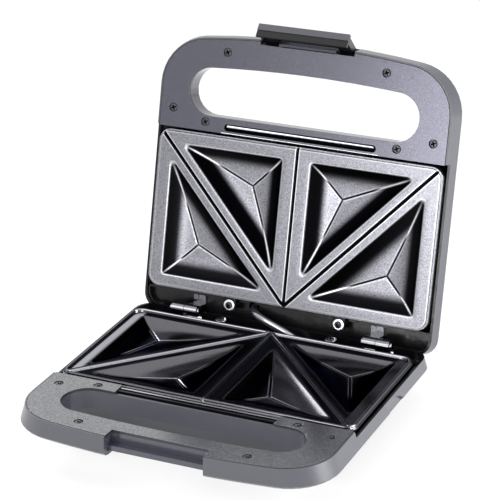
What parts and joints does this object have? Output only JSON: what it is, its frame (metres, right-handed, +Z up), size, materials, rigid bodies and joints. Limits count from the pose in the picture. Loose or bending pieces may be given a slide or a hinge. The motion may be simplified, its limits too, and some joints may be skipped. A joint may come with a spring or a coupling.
{
  "type": "sandwich toaster",
  "caption": "Sandwich toaster with a lid hinged at the back, triangle-pocket non-stick plates, slotted handles on both halves and a hook latch on the lid's front.",
  "frame": {"origin": "middle of the footprint of the opened toaster, on the table under its feet", "axes": "+Z up, -Y towards the handles' front, +X to the right as seen from the front"},
  "size_m": [0.236, 0.2796, 0.2526],
  "materials": {
    "housing": "fine satin grain",
    "handle_cover": "satin silver-grey",
    "non_stick": "semi-gloss black non-stick coating on cast aluminium",
    "black_screw": "black oxide",
    "sheath_steel": "dull heat-darkened sheath",
    "sheet_steel": "plated sheet",
    "black_plastic": "satin",
    "black_rubber": "matt",
    "ceramic": "glazed ceramic",
    "sleeve": "satin silicone",
    "board": "lacquered board",
    "red_lens": "clear tinted",
    "green_lens": "clear tinted",
    "bright_steel": "bright plated"
  },
  "bodies": {
    "base": {"base_housing": "housing", "base_handle_cover": "handle_cover", "base_cover_screws": "black_screw", "base_plate": "non_stick", "base_plate_screws": "bright_steel", "base_heater": "sheath_steel", "base_reflector": "sheet_steel", "base_reflector_screws": "bright_steel", "base_hinge_lugs": "black_plastic", "base_lug_screws": "bright_steel", "rubber_feet": "black_rubber", "foot_screws": "bright_steel", "cord_gland": "black_rubber", "terminal_block": "ceramic", "thermal_fuse": "sheet_steel", "wiring_sleeve": "sleeve"},
    "lid": {"lid_housing": "housing", "lid_handle_cover": "handle_cover", "lid_cover_screws": "black_screw", "lid_vent_bar": "handle_cover", "lid_plate": "non_stick", "lid_plate_screws": "bright_steel", "lid_heater": "sheath_steel", "lid_reflector": "sheet_steel", "lid_reflector_screws": "bright_steel", "lid_hinge_brackets": "black_plastic", "lid_bracket_screws": "bright_steel", "hinge_pins": "bright_steel", "thermostat": "sheet_steel", "lamp_board": "board", "power_lamp_lens": "red_lens", "ready_lamp_lens": "green_lens", "latch_pin": "bright_steel"},
    "latch": {"latch": "housing"}
  },
  "joints": [
    {"name": "lid_hinge", "type": "hinge", "parent": "base", "child": "lid", "pos_m": [0, 0.06974, 0.03731], "axis": [1, 0, 0], "range_deg": [0, 104.15], "deforming": ["wiring_sleeve"]},
    {"name": "latch_pivot", "type": "hinge", "parent": "lid", "child": "latch", "pos_m": [0, 0.12692, 0.23225], "axis": [1, 0, 0], "range_deg": [-45, 31]}
  ]
}
